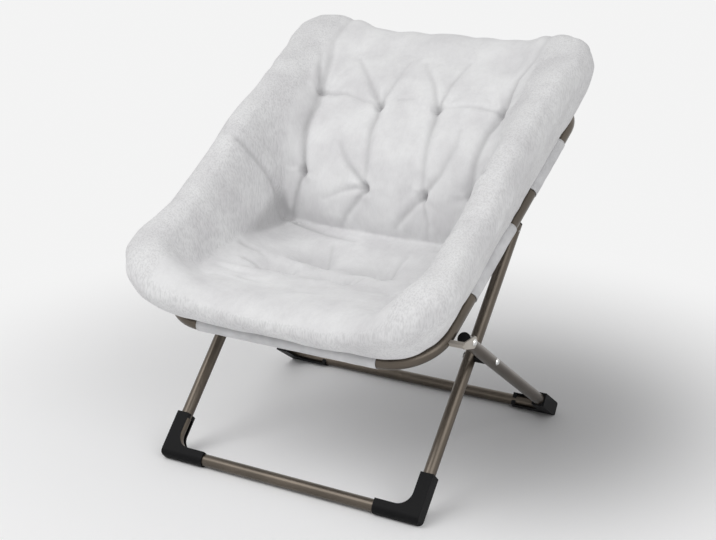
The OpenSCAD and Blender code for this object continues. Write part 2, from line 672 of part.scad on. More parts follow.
// The top roll starts past the top seam on the right and ends past it on the left.
module top_roll() {
  span = half_path - seam_top - pad_gap / 2;
  steps = 20;
  color([0.92, 0.92, 0.92]) on_ring() skin([for (i = [0 : steps]) let(k = mix(-span, span, i / steps))
    let(r = rim_ring(half_path - abs(k))) k < 0 ? r : [for (p = r) [-p[0], p[1], p[2]]]]);
}

front_leg_frame();
rear_leg_frame();
front_foot_right();
front_foot_left();
rear_foot_right();
rear_foot_left();
front_cap_right();
front_cap_left();
rear_cap_right();
rear_cap_left();
cross_bolt_right();
cross_bolt_left();
cross_spacer_right();
cross_spacer_left();
front_ring_half();
rear_ring_half();
ring_pin_right();
ring_pin_left();
ear_right();
ear_left();
ear_rivet_right();
ear_rivet_left();
ear_stub_right();
ear_stub_left();
hanger_right();
hanger_left();
hanger_rivet_right();
hanger_rivet_left();
front_sleeve();
side_sleeve_right();
side_sleeve_left();
upper_sleeve_right();
upper_sleeve_left();
top_sleeve();
seat_pad();
back_pad();
side_wing_right();
side_wing_left();
front_roll();
top_roll();
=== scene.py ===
"""Folding saucer chair: fur bucket cushion, cloth sleeves, painted tubes and a studio stage."""

import math

import bmesh
import bpy
import numpy as np
from mathutils import Euler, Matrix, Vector


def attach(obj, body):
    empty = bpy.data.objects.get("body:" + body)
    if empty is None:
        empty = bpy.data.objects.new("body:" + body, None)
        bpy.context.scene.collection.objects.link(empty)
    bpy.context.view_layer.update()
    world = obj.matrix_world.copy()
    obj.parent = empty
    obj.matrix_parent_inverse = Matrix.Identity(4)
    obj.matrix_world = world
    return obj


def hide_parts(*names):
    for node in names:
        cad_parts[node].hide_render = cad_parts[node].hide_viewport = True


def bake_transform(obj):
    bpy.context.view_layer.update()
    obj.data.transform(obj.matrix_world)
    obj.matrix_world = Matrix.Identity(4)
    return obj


bl_info = {
    "name": "Folding saucer chair",
    "version": (1, 0, 0),
    "blender": (4, 5, 0),
    "location": "3D View > Sidebar > Saucer Chair",
    "description": "Dresses the packed frame of a folding saucer chair",
    "category": "Object",
}

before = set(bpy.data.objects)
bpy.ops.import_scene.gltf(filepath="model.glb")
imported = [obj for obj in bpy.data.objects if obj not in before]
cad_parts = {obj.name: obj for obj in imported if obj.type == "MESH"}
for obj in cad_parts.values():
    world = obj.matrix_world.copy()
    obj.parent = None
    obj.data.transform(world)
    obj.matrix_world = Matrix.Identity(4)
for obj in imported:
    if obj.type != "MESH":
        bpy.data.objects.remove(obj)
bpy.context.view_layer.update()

# Ring frame: the front tube's place, the tilt, and the loop's own sizes, in metres.
ORIGIN_Y = 0.351
RING_Y = 0.0057 - ORIGIN_Y
RING_Z = 0.3101
RING_TILT = math.radians(25.16)
RING_HALF_W = 0.2995
RING_LEN = 0.835
RING_BEND = 0.1
TUBE_R = 0.0125
HINGE_AT = 0.222
SIDES = (("right", 1), ("left", -1))

# Cloth sleeves: wall, gap to the tube, and where the side ones start and end along the ring.
SLEEVE_WALL = 0.0008
SLEEVE_GAP = 0.0001
SIDE_SLEEVE = (HINGE_AT * 0.9, HINGE_AT * 1.833)
UPPER_SLEEVE = (RING_LEN * 0.62, RING_LEN * 0.823)

# The imported soft solids that together make the cushion.
PADS = ("seat_pad", "back_pad", "side_wing_right", "side_wing_left", "front_roll", "top_roll")

# The seat and back as two cubic curves in the ring's middle plane, along and over the ring.
SEAT_CURVE = ((0.0906, 0.0403), (0.1499, -0.0052), (0.2902, -0.1001), (0.4154, -0.0897))
BACK_CURVE = ((0.4157, -0.0898), (0.424, 0.0394), (0.5192, 0.1022), (0.758, 0.1329))
# Length run along the seat to the foot of the back, and half the width between the wings.
BACK_RUN = 0.357
PAD_HALF_W = 0.247

# Sewn points: place across, run up the seat and back from the front roll, and strength.
TUFTS = ((-0.13, 0.085, 0.8), (0.0, 0.092, 0.8), (0.135, 0.1, 0.5), (-0.082, 0.19, 0.9),
         (0.058, 0.185, 0.9), (-0.222, 0.68, 1.0), (-0.07, 0.658, 0.8), (0.066, 0.664, 0.8),
         (0.212, 0.676, 1.0), (-0.207, 0.48, 1.3), (-0.045, 0.464, 1.0), (0.09, 0.464, 1.0),
         (0.197, 0.476, 1.0))

# Folds of the cover: depth and width, then the places they run through, deepest at the first.
FOLDS = (
    (0.009, 0.0065,
     ((-0.207, 0.48), (-0.219, 0.58), (-0.222, 0.68), (-0.238, 0.77), (-0.25, 0.81))),
    (0.007, 0.006, ((-0.207, 0.48), (-0.222, 0.41), (-0.243, 0.345))),
    (0.005, 0.005, ((-0.222, 0.68), (-0.262, 0.77))),
    (0.008, 0.0065, ((0.212, 0.676), (0.214, 0.765), (0.24, 0.81))),
    (0.007, 0.006,
     ((0.212, 0.676), (0.199, 0.62), (0.193, 0.556), (0.197, 0.476), (0.243, 0.345))),
    (0.005, 0.0045, ((-0.222, 0.68), (-0.16, 0.677), (-0.12, 0.666), (-0.07, 0.658))),
    (0.004, 0.0045, ((0.212, 0.676), (0.13, 0.675), (0.066, 0.664))),
    (0.003, 0.0045, ((-0.03, 0.674), (0.01, 0.678))),
    (0.007, 0.006, ((-0.07, 0.658), (-0.1, 0.697), (-0.175, 0.785))),
    (0.005, 0.006, ((-0.07, 0.658), (-0.06, 0.714), (-0.05, 0.79))),
    (0.006, 0.007, ((0.066, 0.664), (0.035, 0.725), (-0.01, 0.785))),
    (0.005, 0.006, ((0.066, 0.664), (0.075, 0.738), (0.09, 0.8))),
    (0.007, 0.007, ((-0.07, 0.658), (-0.064, 0.59), (-0.05, 0.507), (-0.045, 0.464))),
    (0.007, 0.006, ((-0.045, 0.464), (-0.095, 0.511), (-0.125, 0.551))),
    (0.004, 0.005, ((-0.045, 0.464), (-0.092, 0.456), (-0.145, 0.433))),
    (0.007, 0.007, ((-0.045, 0.464), (-0.088, 0.403), (-0.11, 0.365))),
    (0.007, 0.007, ((0.066, 0.664), (0.078, 0.56), (0.087, 0.487), (0.09, 0.464))),
    (0.007, 0.006, ((0.09, 0.464), (0.058, 0.427), (0.028, 0.39))),
    (0.006, 0.007, ((0.09, 0.464), (0.124, 0.513), (0.143, 0.576), (0.14, 0.61))),
    (0.005, 0.006, ((0.09, 0.464), (0.105, 0.41), (0.1, 0.37))),
    (0.007, 0.007, ((-0.244, 0.35), (-0.19, 0.338), (-0.13, 0.325), (-0.06, 0.32))),
    (0.006, 0.007, ((0.244, 0.35), (0.19, 0.338), (0.13, 0.33))),
    (0.006, 0.006, ((-0.118, 0.083), (-0.145, 0.072), (-0.175, 0.065))),
    (0.006, 0.006, ((-0.118, 0.083), (-0.1, 0.1), (-0.1, 0.14))),
    (0.007, 0.006, ((-0.082, 0.19), (-0.11, 0.18), (-0.14, 0.182))),
    (0.007, 0.006, ((-0.082, 0.19), (-0.078, 0.23), (-0.095, 0.29))),
    (0.006, 0.006, ((0.058, 0.185), (0.03, 0.172), (0.005, 0.172))),
    (0.007, 0.006, ((0.058, 0.185), (0.075, 0.22), (0.08, 0.29))),
    (0.006, 0.006, ((0.012, 0.09), (-0.02, 0.085), (-0.045, 0.09))),
    (0.006, 0.006, ((0.012, 0.09), (0.045, 0.105), (0.055, 0.14))),
    (0.004, 0.006, ((-0.2, 0.1), (-0.17, 0.11), (-0.14, 0.1))),
    (0.004, 0.006, ((-0.235, 0.135), (-0.2, 0.15), (-0.16, 0.14))),
)

# Hollows of the seat behind its sewn points: place across, run and radius.
HOLLOWS = ((-0.13, 0.112, 0.034), (-0.098, 0.216, 0.04), (0.04, 0.21, 0.042), (0.0, 0.12, 0.03))
HOLLOW_DEPTH = 0.03
HOLLOW_LIP = 0.015
HOLLOW_SHADE = 0.4

# The slanted fold over each wing, as places along and over the ring.
WING_FOLD = ((0.409, -0.07), (0.4, 0.05), (0.382, 0.12), (0.375, 0.165))

# How far the cushion's left corners stand out: across, along and over the ring.
TOP_LEAN = (-0.018, 0.006, 0.006)
LOW_LEAN = (-0.012, -0.002, -0.007)


# Stage: the frame's width in pixels, the light of the sky and the backdrop's brightness.
FRAME_PX = 716
SKY = 0.46
BACKDROP = 0.9


# Measures

def ring_point(x, s, h):
    """A place in the shared frame from a place in the ring's own frame."""
    c, n = math.cos(RING_TILT), math.sin(RING_TILT)
    return Vector((x, RING_Y + s * c - h * n, RING_Z + s * n + h * c))


def to_ring(points):
    """Points of the shared frame as columns across, along and over the ring."""
    c, n = math.cos(RING_TILT), math.sin(RING_TILT)
    y, z = points[:, 1] - RING_Y, points[:, 2] - RING_Z
    return np.stack([points[:, 0], y * c + z * n, -y * n + z * c], axis=1)


def from_ring(ring):
    """The way back from to_ring."""
    c, n = math.cos(RING_TILT), math.sin(RING_TILT)
    return np.stack([ring[:, 0], RING_Y + ring[:, 1] * c - ring[:, 2] * n,
                     RING_Z + ring[:, 1] * n + ring[:, 2] * c], axis=1)


def ripple(points, wavelength, seed, waves=10):
    """Smooth repeatable unevenness between about -1 and 1."""
    rng = np.random.default_rng(seed)
    out = np.zeros(len(points))
    for _ in range(waves):
        way = rng.normal(size=3)
        way *= 2 * math.pi / wavelength / np.linalg.norm(way) * rng.uniform(0.7, 1.4)
        out += np.sin(points @ way + rng.uniform(0, 2 * math.pi))
    return out / math.sqrt(waves / 2) / 1.6


def bump(distance, radius):
    """A round rise: 1 in the middle, falling away past the radius."""
    return np.exp(-((distance / radius) ** 2))


def ease(value):
    """Smooth step from 0 to 1."""
    value = np.clip(value, 0, 1)
    return value * value * (3 - 2 * value)


def curve_point(curve, t):
    """Points of a cubic curve at the shares t of its run."""
    t = np.atleast_1d(t)[:, None]
    p = np.array(curve)
    return (p[0] * (1 - t) ** 3 + p[1] * 3 * t * (1 - t) ** 2
            + p[2] * 3 * t * t * (1 - t) + p[3] * t ** 3)


def profile(steps=60):
    """The seat and back in one line: its points, their normals and the length run so far."""
    t = np.linspace(0, 1, steps)
    line = np.vstack([curve_point(SEAT_CURVE, t), curve_point(BACK_CURVE, t[1:])])
    way = np.gradient(line, axis=0)
    way /= np.linalg.norm(way, axis=1)[:, None]
    run = np.concatenate([[0], np.cumsum(np.linalg.norm(np.diff(line, axis=0), axis=1))])
    return line, np.stack([-way[:, 1], way[:, 0]], axis=1), run


def on_profile(ring):
    """For each point: how far along the seat and back it is, how high over them, the way up."""
    line, normal, run = profile()
    gap = np.full(len(ring), np.inf)
    index = np.zeros(len(ring), int)
    for k, point in enumerate(line):
        d = np.hypot(ring[:, 1] - point[0], ring[:, 2] - point[1])
        near = d < gap
        gap[near], index[near] = d[near], k
    off, up = ring[:, 1:] - line[index], normal[index]
    ahead = off[:, 0] * up[:, 1] - off[:, 1] * up[:, 0]
    return run[index] + np.clip(ahead, -0.006, 0.006), np.sum(off * up, axis=1), up


def read_mesh(mesh):
    """The places and the normals of a mesh's points."""
    co = np.empty(len(mesh.vertices) * 3)
    no = np.empty(len(mesh.vertices) * 3)
    mesh.vertices.foreach_get("co", co)
    mesh.vertices.foreach_get("normal", no)
    return co.reshape(-1, 3), no.reshape(-1, 3)


def write_mesh(mesh, co):
    mesh.vertices.foreach_set("co", co.ravel())
    mesh.update()


def mark(mesh, name, values):
    """Keeps one value for each point, for the fur's material to read."""
    layer = mesh.attributes.new(name, "FLOAT", "POINT")
    layer.data.foreach_set("value", values.astype(np.float32))


def scene_object(name, bm):
    """Turns a finished bmesh into an object in the scene."""
    mesh = bpy.data.meshes.new(name)
    bm.to_mesh(mesh)
    bm.free()
    obj = bpy.data.objects.new(name, mesh)
    bpy.context.scene.collection.objects.link(obj)
    return obj


def shade_smooth(obj):
    for face in obj.data.polygons:
        face.use_smooth = True


# Materials

def new_material(name):
    mat = bpy.data.materials.new(name)
    mat.use_nodes = True
    nodes = mat.node_tree.nodes
    shader = nodes["Principled BSDF"]
    return mat, mat.node_tree, nodes, shader


def surface_noise_group():
    """Shared effect: noise of one size on Object coordinates, stretched along one axis."""
    name = "surface noise"
    if name in bpy.data.node_groups:
        return bpy.data.node_groups[name]
    group = bpy.data.node_groups.new(name, "ShaderNodeTree")
    face = group.interface
    for label, value in (("Scale", 40.0), ("Detail", 3.0), ("Stretch X", 1.0),
                         ("Stretch Y", 1.0), ("Stretch Z", 1.0)):
        socket = face.new_socket(label, in_out="INPUT", socket_type="NodeSocketFloat")
        socket.default_value = value
    face.new_socket("Fac", in_out="OUTPUT", socket_type="NodeSocketFloat")
    nodes, links = group.nodes, group.links
    inside = nodes.new("NodeGroupInput")
    outside = nodes.new("NodeGroupOutput")
    coords = nodes.new("ShaderNodeTexCoord")
    stretch = nodes.new("ShaderNodeCombineXYZ")
    scaled = nodes.new("ShaderNodeVectorMath")
    scaled.operation = "MULTIPLY"
    noise = nodes.new("ShaderNodeTexNoise")
    for axis in "XYZ":
        links.new(inside.outputs["Stretch " + axis], stretch.inputs[axis])
    links.new(coords.outputs["Object"], scaled.inputs[0])
    links.new(stretch.outputs[0], scaled.inputs[1])
    links.new(scaled.outputs[0], noise.inputs["Vector"])
    links.new(inside.outputs["Scale"], noise.inputs["Scale"])
    links.new(inside.outputs["Detail"], noise.inputs["Detail"])
    links.new(noise.outputs["Fac"], outside.inputs["Fac"])
    return group


def noise_node(tree, scale, detail, stretch=(1.0, 1.0, 1.0)):
    node = tree.nodes.new("ShaderNodeGroup")
    node.node_tree = surface_noise_group()
    node.inputs["Scale"].default_value = scale
    node.inputs["Detail"].default_value = detail
    for axis, value in zip("XYZ", stretch):
        node.inputs["Stretch " + axis].default_value = value
    return node.outputs["Fac"]


def add_bumps(tree, shader, steps):
    """Chains bump nodes: each step is a height socket, a strength and a distance in metres."""
    previous = None
    for height, strength, distance in steps:
        node = tree.nodes.new("ShaderNodeBump")
        node.inputs["Strength"].default_value = strength
        node.inputs["Distance"].default_value = distance
        tree.links.new(height, node.inputs["Height"])
        if previous:
            tree.links.new(previous, node.inputs["Normal"])
        previous = node.outputs["Normal"]
    tree.links.new(previous, shader.inputs["Normal"])


def colour_ramp(tree, factor, stops):
    node = tree.nodes.new("ShaderNodeValToRGB")
    ramp = node.color_ramp
    while len(ramp.elements) < len(stops):
        ramp.elements.new(0.5)
    for element, (place, colour) in zip(ramp.elements, stops):
        element.position = place
        element.color = (*colour, 1.0)
    tree.links.new(factor, node.inputs["Fac"])
    return node.outputs["Color"]


def mixed(tree, kind, amount, first, second):
    """Mixes two colours; each is a socket or a plain colour, and so is the amount."""
    node = tree.nodes.new("ShaderNodeMix")
    node.data_type = "RGBA"
    node.blend_type = kind
    for name, value in (("Factor", amount), ("A", first), ("B", second)):
        found = [i for i in node.inputs if i.name == name and
                 i.type == ("VALUE" if name == "Factor" else "RGBA")][0]
        if isinstance(value, bpy.types.NodeSocket):
            tree.links.new(value, found)
        else:
            found.default_value = value if name == "Factor" else (*value, 1.0)
    return [o for o in node.outputs if o.type == "RGBA"][0]


def bronze_paint(colour, name="bronze paint", roughness=0.36):
    mat, tree, _, shader = new_material(name)
    light = tuple(min(1.0, c * 1.14) for c in colour)
    dark = tuple(c * 0.86 for c in colour)
    tint = colour_ramp(tree, noise_node(tree, 9.0, 2.0), ((0.35, dark), (0.65, light)))
    tree.links.new(tint, shader.inputs["Base Color"])
    shader.inputs["Metallic"].default_value = 0.82
    shader.inputs["Roughness"].default_value = roughness
    shader.inputs["Coat Weight"].default_value = 0.25
    shader.inputs["Coat Roughness"].default_value = 0.22
    add_bumps(tree, shader, ((noise_node(tree, 900.0, 1.0), 0.05, 0.0004),))
    return mat


def black_plastic():
    mat, tree, _, shader = new_material("black plastic")
    shader.inputs["Base Color"].default_value = (0.003, 0.003, 0.0035, 1.0)
    shader.inputs["Roughness"].default_value = 0.55
    shader.inputs["Specular IOR Level"].default_value = 0.14
    add_bumps(tree, shader, ((noise_node(tree, 700.0, 2.0), 0.12, 0.0004),))
    return mat


def bright_steel():
    mat, _, _, shader = new_material("bright steel")
    shader.inputs["Base Color"].default_value = (0.72, 0.72, 0.71, 1.0)
    shader.inputs["Metallic"].default_value = 1.0
    shader.inputs["Roughness"].default_value = 0.28
    return mat


def sleeve_cloth():
    mat, tree, nodes, shader = new_material("sleeve cloth")
    tint = colour_ramp(tree, noise_node(tree, 30.0, 3.0), ((0.3, (0.56, 0.56, 0.57)),
                                                         (0.7, (0.68, 0.68, 0.69))))
    tree.links.new(tint, shader.inputs["Base Color"])
    shader.inputs["Roughness"].default_value = 0.85
    shader.inputs["Sheen Weight"].default_value = 0.15
    weave = nodes.new("ShaderNodeTexWave")
    weave.inputs["Scale"].default_value = 260.0
    coords = nodes.new("ShaderNodeTexCoord")
    tree.links.new(coords.outputs["Object"], weave.inputs["Vector"])
    add_bumps(tree, shader, ((weave.outputs["Fac"], 0.1, 0.0005),
                             (noise_node(tree, 60.0, 3.0), 0.25, 0.002)))
    return mat


def fur_material(colour, shade):
    """Short pile: faint clumps, longer strands where it is shaggy, painted shade in the folds."""
    mat, tree, nodes, shader = new_material("short pile fur")
    clumps = noise_node(tree, 13.0, 4.0)
    tips = noise_node(tree, 110.0, 3.0, (1.0, 0.8, 0.45))
    strands = noise_node(tree, 330.0, 2.0, (1.0, 1.0, 0.2))
    groove, shag = nodes.new("ShaderNodeAttribute"), nodes.new("ShaderNodeAttribute")
    groove.attribute_name, shag.attribute_name = "groove", "shag"
    base = colour_ramp(tree, clumps, ((0.34, shade), (0.62, colour)))
    pile = colour_ramp(tree, tips, ((0.3, (0.93, 0.93, 0.93)), (0.6, (1.0, 1.0, 1.0))))
    long = colour_ramp(tree, strands, ((0.34, (0.86, 0.86, 0.86)), (0.58, (1.0, 1.0, 1.0))))
    brushed = mixed(tree, "MULTIPLY", 0.5, base, pile)
    tuned = mixed(tree, "MULTIPLY", shag.outputs["Fac"], brushed, long)
    # Painted shade: the crease value darkens the fur towards a dim copy of its shade colour.
    shaded_fur = mixed(tree, "MIX", groove.outputs["Fac"], tuned, tuple(c * 0.6 for c in shade))
    tree.links.new(shaded_fur, shader.inputs["Base Color"])
    shader.inputs["Roughness"].default_value = 0.95
    shader.inputs["Specular IOR Level"].default_value = 0.1
    shader.inputs["Sheen Weight"].default_value = 0.25
    shader.inputs["Sheen Roughness"].default_value = 0.5
    standing = nodes.new("ShaderNodeMath")
    standing.operation = "MULTIPLY"
    tree.links.new(strands, standing.inputs[0])
    tree.links.new(shag.outputs["Fac"], standing.inputs[1])
    add_bumps(tree, shader, ((clumps, 0.06, 0.006), (tips, 0.3, 0.002),
                             (standing.outputs[0], 0.6, 0.0022)))
    return mat


def paint(obj, mat):
    obj.data.materials.clear()
    obj.data.materials.append(mat)
    for face in obj.data.polygons:
        face.material_index = 0


def paint_node(name, mat):
    """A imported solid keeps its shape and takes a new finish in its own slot."""
    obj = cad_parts[name]
    if obj.material_slots:
        for slot in obj.material_slots:
            slot.material = mat
    else:
        obj.data.materials.append(mat)


# Soft pieces

def puffed_copy(name, nodes, puff):
    """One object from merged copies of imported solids, each swollen a little along its normals."""
    bm = bmesh.new()
    for node in nodes:
        part = bmesh.new()
        part.from_mesh(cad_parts[node].data)
        bmesh.ops.remove_doubles(part, verts=part.verts, dist=0.00002)
        part.normal_update()
        for vert in part.verts:
            vert.co += vert.normal * puff
        held = bpy.data.meshes.new("held")
        part.to_mesh(held)
        part.free()
        bm.from_mesh(held)
        bpy.data.meshes.remove(held)
    return scene_object(name, bm)


def bake_modifiers(obj):
    """Applies every modifier on an object to its mesh."""
    graph = bpy.context.evaluated_depsgraph_get()
    done = bpy.data.meshes.new_from_object(obj.evaluated_get(graph))
    old = obj.data
    obj.modifiers.clear()
    obj.data = done
    done.name = obj.name
    bpy.data.meshes.remove(old)


def keep_outer_skin(obj):
    """Deletes the closed hollows that a remesh leaves inside, and keeps the largest skin."""
    bm = bmesh.new()
    bm.from_mesh(obj.data)
    left = set(bm.verts)
    islands = []
    while left:
        seed = left.pop()
        island, edge = {seed}, [seed]
        while edge:
            vert = edge.pop()
            for link in vert.link_edges:
                other = link.other_vert(vert)
                if other in left:
                    left.discard(other)
                    island.add(other)
                    edge.append(other)
        islands.append(island)
    islands.sort(key=len)
    for island in islands[:-1]:
        bmesh.ops.delete(bm, geom=list(island), context="VERTS")
    bm.to_mesh(obj.data)
    bm.free()


def one_skin(name, nodes, puff, voxel, soften):
    """Runs neighbouring soft solids together in one closed skin."""
    obj = puffed_copy(name, nodes, puff)
    remesh = obj.modifiers.new("skin", "REMESH")
    remesh.mode = "VOXEL"
    remesh.voxel_size = voxel
    smooth = obj.modifiers.new("soften", "SMOOTH")
    smooth.factor = 0.5
    smooth.iterations = soften
    bake_modifiers(obj)
    keep_outer_skin(obj)
    shade_smooth(obj)
    return obj


def even_out(mesh, co, share, rounds):
    """Draws each point towards its neighbours, by its own share, so that broad dips fill."""
    pairs = np.empty(len(mesh.edges) * 2, dtype=np.int64)
    mesh.edges.foreach_get("vertices", pairs)
    a, b = pairs[0::2], pairs[1::2]
    n = len(co)
    count = np.maximum(np.bincount(a, minlength=n) + np.bincount(b, minlength=n), 1)
    for _ in range(rounds):
        mean = np.stack([np.bincount(a, co[b, k], n) + np.bincount(b, co[a, k], n)
                         for k in range(3)], axis=1) / count[:, None]
        co = co + (mean - co) * share[:, None]
    return co


def path_distance(x, v, places):
    """Distance from points (x, v) to a bent line, and how far along it the nearest place is."""
    steps = [math.dist(p, q) for p, q in zip(places, places[1:])]
    far, along, done = np.full(len(x), np.inf), np.zeros(len(x)), 0.0
    for start, end, step in zip(places, places[1:], steps):
        dx, dv = end[0] - start[0], end[1] - start[1]
        t = np.clip(((x - start[0]) * dx + (v - start[1]) * dv) / step ** 2, 0, 1)
        d = np.hypot(x - start[0] - t * dx, v - start[1] - t * dv)
        near = d < far
        far[near], along[near] = d[near], (done + t[near] * step) / sum(steps)
        done += step
    return far, along


def puckers(x, v, reach, folds, seed):
    """Small pleats that run out from one sewn point, strongest close to it."""
    rng = np.random.default_rng(seed)
    far = np.hypot(x, v)
    turn = np.arctan2(v, x)
    wave = 0.0
    for k in range(3):
        wave = wave + np.cos(turn * (folds + 2 * k) + rng.uniform(0, 6.28)) / (1 + 0.4 * k)
    return wave / 2 * np.clip(far / 0.02, 0, 1) * bump(far, reach)


class Sewing:
    """Adds up how far each point moves, and the painted shade it takes in seams and hollows."""

    def __init__(self, count):
        self.lift = np.zeros(count)
        self.groove = np.zeros(count)

    def dent(self, far, depth, radius, shade=0.0, where=None):
        pull = bump(far, radius)
        if where is not None:
            pull = pull * where
        self.lift -= depth * pull
        if shade:
            self.groove = np.maximum(self.groove, shade * pull)

    def tuft(self, x, v, shape, seed, where):
        far = np.hypot(x, v)
        # The small dimple of a sewn point takes painted shade.
        self.dent(far, shape.tuft_depth, 0.0075, 0.6, where)
        self.dent(far, shape.tuft_depth * 0.9, 0.026, 0, where)
        self.lift += puckers(x, v, 0.042, 5, seed) * shape.pucker * where

    def fold(self, x, v, places, depth, width, where, fade=0.65):
        """A soft crease with a swell beside it, deepest where the line starts."""
        far, along = path_distance(x, v, places)
        deep = depth * (1 - fade * along)
        self.lift += (0.4 * bump(far - 2.6 * width, 1.6 * width) - bump(far, width)) * deep * where
        shade = bump(far, width * 0.8) * np.clip(deep / 0.011, 0, 0.6) * where
        self.groove = np.maximum(self.groove, shade)


# Settings

class SaucerFinish(bpy.types.PropertyGroup):
    metal: bpy.props.FloatVectorProperty(
        name="Tube paint", description="Colour of the metallic paint on the tubes",
        subtype="COLOR", default=(0.108, 0.089, 0.07), min=0, max=1)
    bracket: bpy.props.FloatVectorProperty(
        name="Bracket metal", description="Colour of the bracket plates",
        subtype="COLOR", default=(0.42, 0.385, 0.34), min=0, max=1)
    fur: bpy.props.FloatVectorProperty(
        name="Fur", description="Colour of the pile where it stands",
        subtype="COLOR", default=(0.83, 0.83, 0.835), min=0, max=1)
    fur_shade: bpy.props.FloatVectorProperty(
        name="Fur shade", description="Colour of the pile where it lies down",
        subtype="COLOR", default=(0.74, 0.735, 0.745), min=0, max=1)


class SaucerShape(bpy.types.PropertyGroup):
    puff: bpy.props.FloatProperty(
        name="Puff", description="How far each pad swells to meet its neighbours",
        default=0.003, min=0, max=0.01, unit="LENGTH")
    voxel: bpy.props.FloatProperty(
        name="Skin detail", description="Size of the skin's squares",
        default=0.004, min=0.003, max=0.02, unit="LENGTH")
    soften: bpy.props.IntProperty(
        name="Softening", description="Passes that round the creases between the pads",
        default=7, min=0, max=40)
    even: bpy.props.IntProperty(
        name="Evening", description="Passes that fill the broad dips of the pads",
        default=110, min=0, max=400)
    tuft_depth: bpy.props.FloatProperty(
        name="Tuft depth", description="Depth of each sewn point",
        default=0.0075, min=0, max=0.03, unit="LENGTH")
    pucker: bpy.props.FloatProperty(
        name="Pucker", description="Height of the small pleats round a sewn point",
        default=0.0024, min=0, max=0.01, unit="LENGTH")
    fold_depth: bpy.props.FloatProperty(
        name="Fold depth", description="How deep the folds of the cover are, as a factor",
        default=1.0, min=0, max=3)
    slack: bpy.props.FloatProperty(
        name="Slack", description="Height of the loose folds in the cover",
        default=0.0022, min=0, max=0.01, unit="LENGTH")


class SaucerStage(bpy.types.PropertyGroup):
    focal_px: bpy.props.FloatProperty(
        name="Focal length", description="Focal length of the view in pixels of the frame",
        default=1302.0, min=300, max=4000)
    eye: bpy.props.FloatVectorProperty(
        name="Eye", description="Place of the camera", subtype="XYZ", unit="LENGTH",
        default=(1.231, -1.943 - ORIGIN_Y, 1.2377))
    azimuth: bpy.props.FloatProperty(
        name="Azimuth", description="Turn of the view", subtype="ANGLE",
        default=math.radians(28.866))
    elevation: bpy.props.FloatProperty(
        name="Elevation", description="Downward tilt of the view", subtype="ANGLE",
        default=math.radians(18.785))


# Operators

class SAUCER_OT_paint_metal(bpy.types.Operator):
    """Finishes the tubes, brackets, rivets and plastic parts"""
    bl_idname = "saucer.paint_metal"
    bl_label = "Finish the frame"

    def execute(self, context):
        finish = context.scene.saucer_finish
        tube = bronze_paint(tuple(finish.metal))
        plate = bronze_paint(tuple(finish.bracket), "bracket paint", 0.3)
        plastic, steel = black_plastic(), bright_steel()
        for name in ("front_leg_frame", "rear_leg_frame", "front_ring_half", "rear_ring_half"):
            paint_node(name, tube)
        for side, _ in SIDES:
            for stem in ("front_foot", "rear_foot", "front_cap", "rear_cap", "cross_spacer"):
                paint_node(f"{stem}_{side}", plastic)
            for stem in ("cross_bolt", "ring_pin", "ear_rivet", "ear_stub", "hanger_rivet"):
                paint_node(f"{stem}_{side}", steel)
            paint_node(f"ear_{side}", plate)
            paint_node(f"hanger_{side}", tube)
        return {"FINISHED"}


